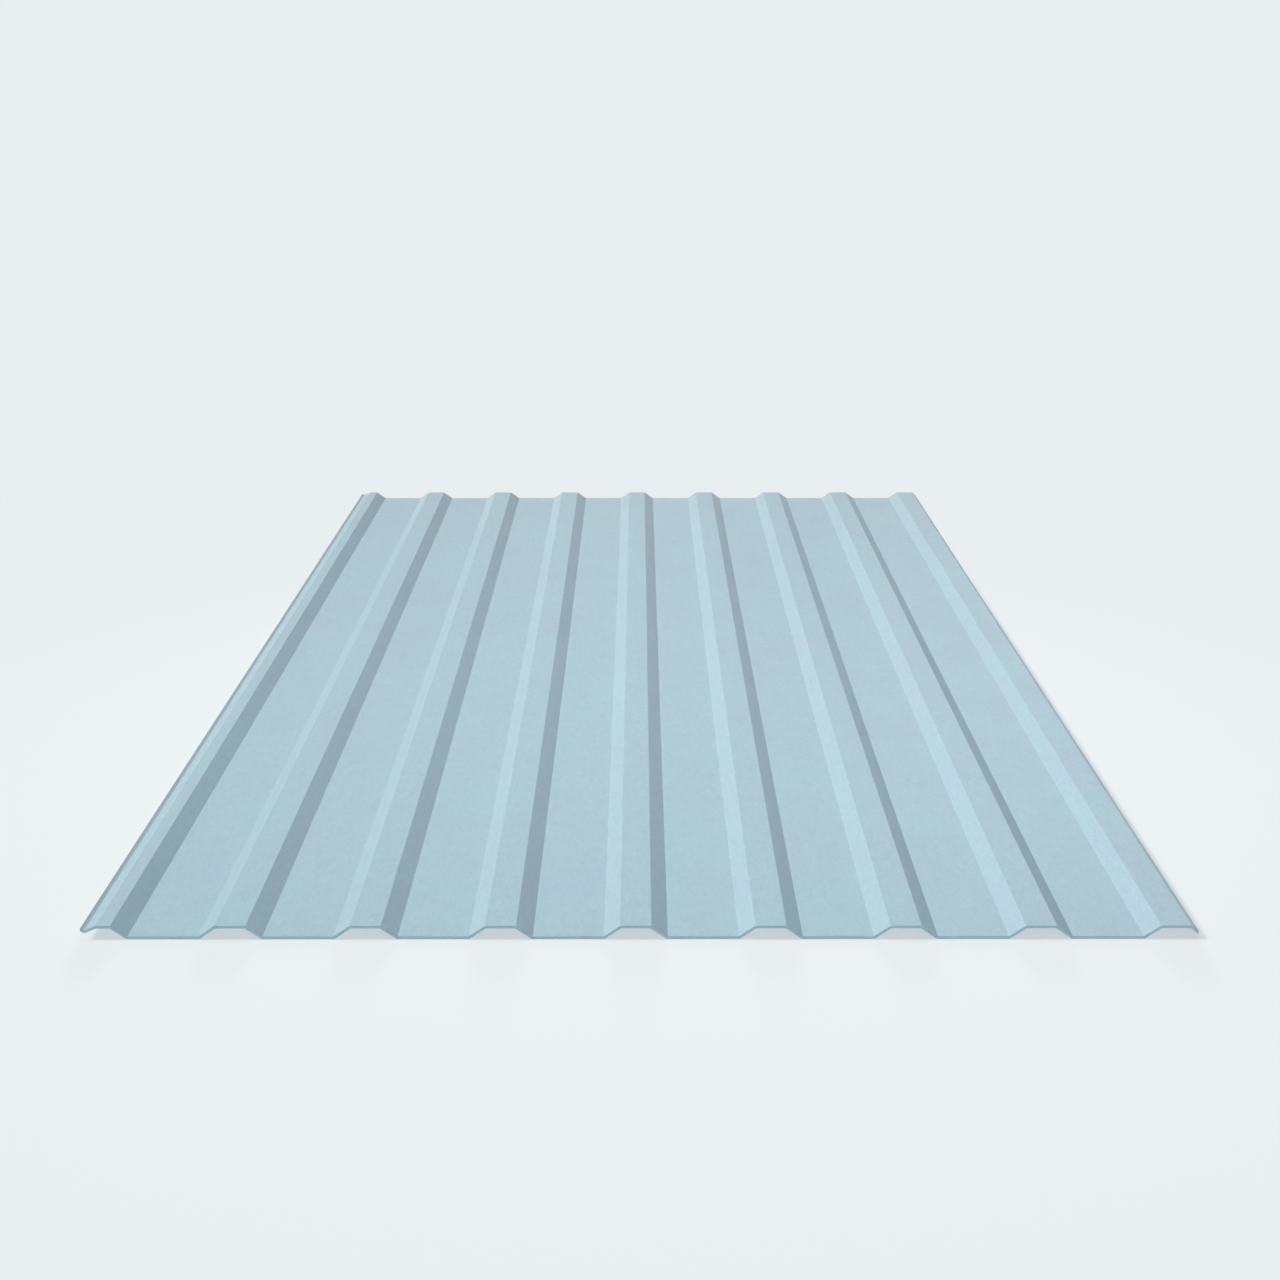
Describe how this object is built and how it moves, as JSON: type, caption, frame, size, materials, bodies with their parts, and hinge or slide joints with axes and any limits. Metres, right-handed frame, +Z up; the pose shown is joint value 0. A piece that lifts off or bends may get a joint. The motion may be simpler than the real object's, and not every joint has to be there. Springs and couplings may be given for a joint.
{
  "type": "corrugated polycarbonate sheet",
  "caption": "Tinted translucent roofing sheet with level trapezoidal ribs, a shallow drip groove along one side edge and a turned-down lip along the other.",
  "frame": {"origin": "centre of the sheet's outline, on the floor that its valleys rest on", "axes": "+Y along the ribs, +X across them towards the edge with the turned-down lip, +Z up out of the weather side"},
  "size_m": [1.15, 2, 0.015],
  "materials": {
    "tinted_polycarbonate": "satin"
  },
  "bodies": {
    "root": {"corrugated_sheet": "tinted_polycarbonate"}
  },
  "joints": []
}
